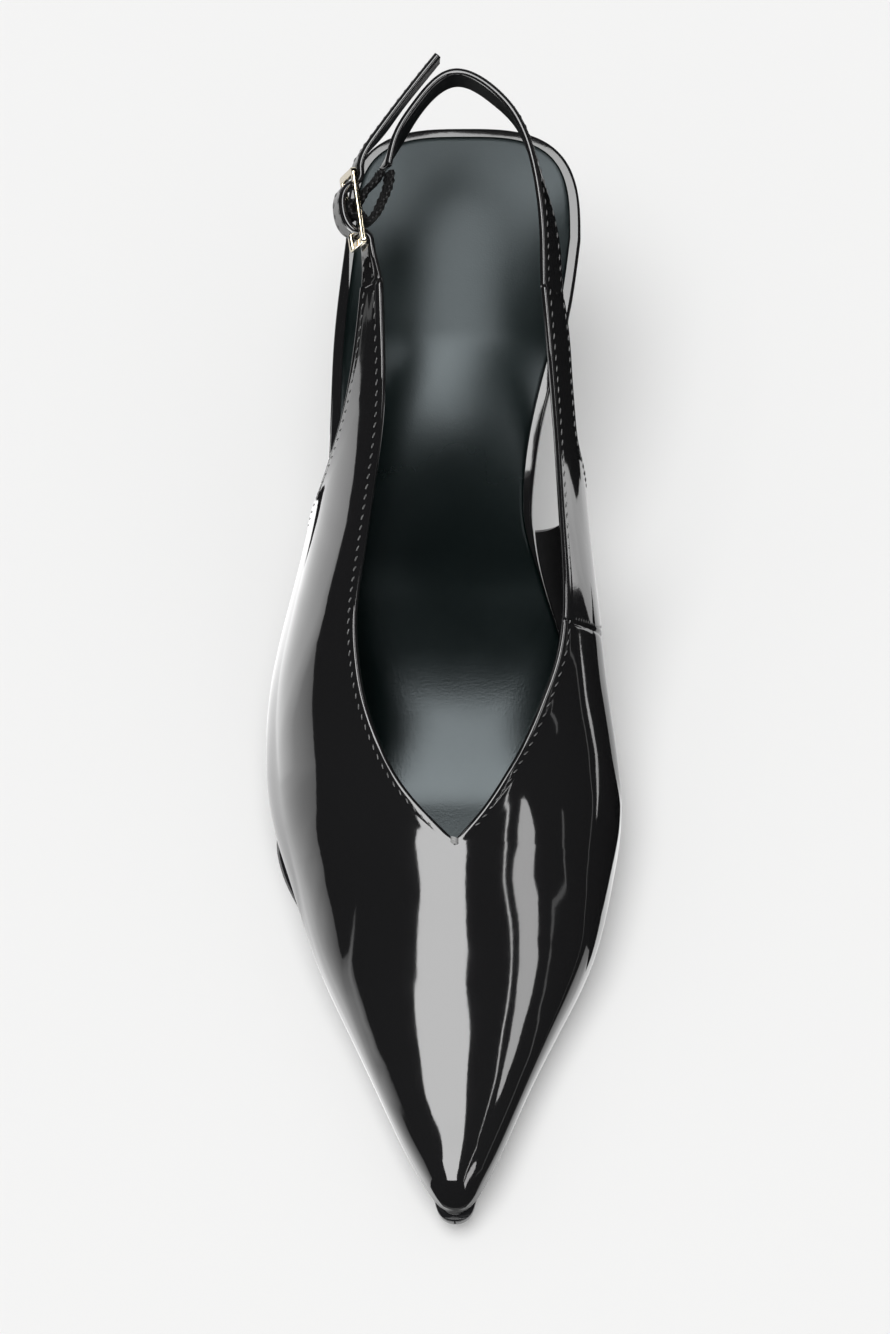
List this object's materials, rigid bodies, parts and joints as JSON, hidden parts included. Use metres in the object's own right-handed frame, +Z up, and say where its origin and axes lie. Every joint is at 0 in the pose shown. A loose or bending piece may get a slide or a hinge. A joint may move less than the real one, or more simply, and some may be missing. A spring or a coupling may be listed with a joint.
{
  "type": "slingback shoe",
  "caption": "Right slingback pump in black patent leather, with a pointed closed toe, V throat, cut-out waist, buckled heel strap and a slim covered heel.",
  "frame": {"origin": "middle of the shoe's box, on the floor it stands on", "axes": "+Y from the toe to the heel, +X towards the medial side of the right foot, +Z up"},
  "size_m": [0.0846, 0.2508, 0.123],
  "materials": {
    "sole_leather": "black dyed sole leather, satin",
    "patent_wrap": "black patent leather wrapped over the insole's rim, glossy",
    "patent_heel": "black patent leather cover, glossy",
    "hard_rubber": "hard black rubber, matt",
    "patent_upper": "black patent leather, mirror gloss",
    "patent_strap": "black patent leather, mirror gloss",
    "patent_tongue": "black patent leather, mirror gloss",
    "braided_elastic": "black braided elastic, matt",
    "pale_gold": "pale gold plating, polished",
    "pale_gold_wire": "pale gold plating, polished"
  },
  "bodies": {
    "root": {"outsole": "sole_leather", "insole": "patent_wrap", "heel": "patent_heel", "top_piece": "hard_rubber", "upper": "patent_upper", "sling_strap": "patent_strap", "buckle_strap": "patent_tongue", "elastic": "braided_elastic", "buckle": "pale_gold", "buckle_prong": "pale_gold_wire"}
  },
  "joints": []
}
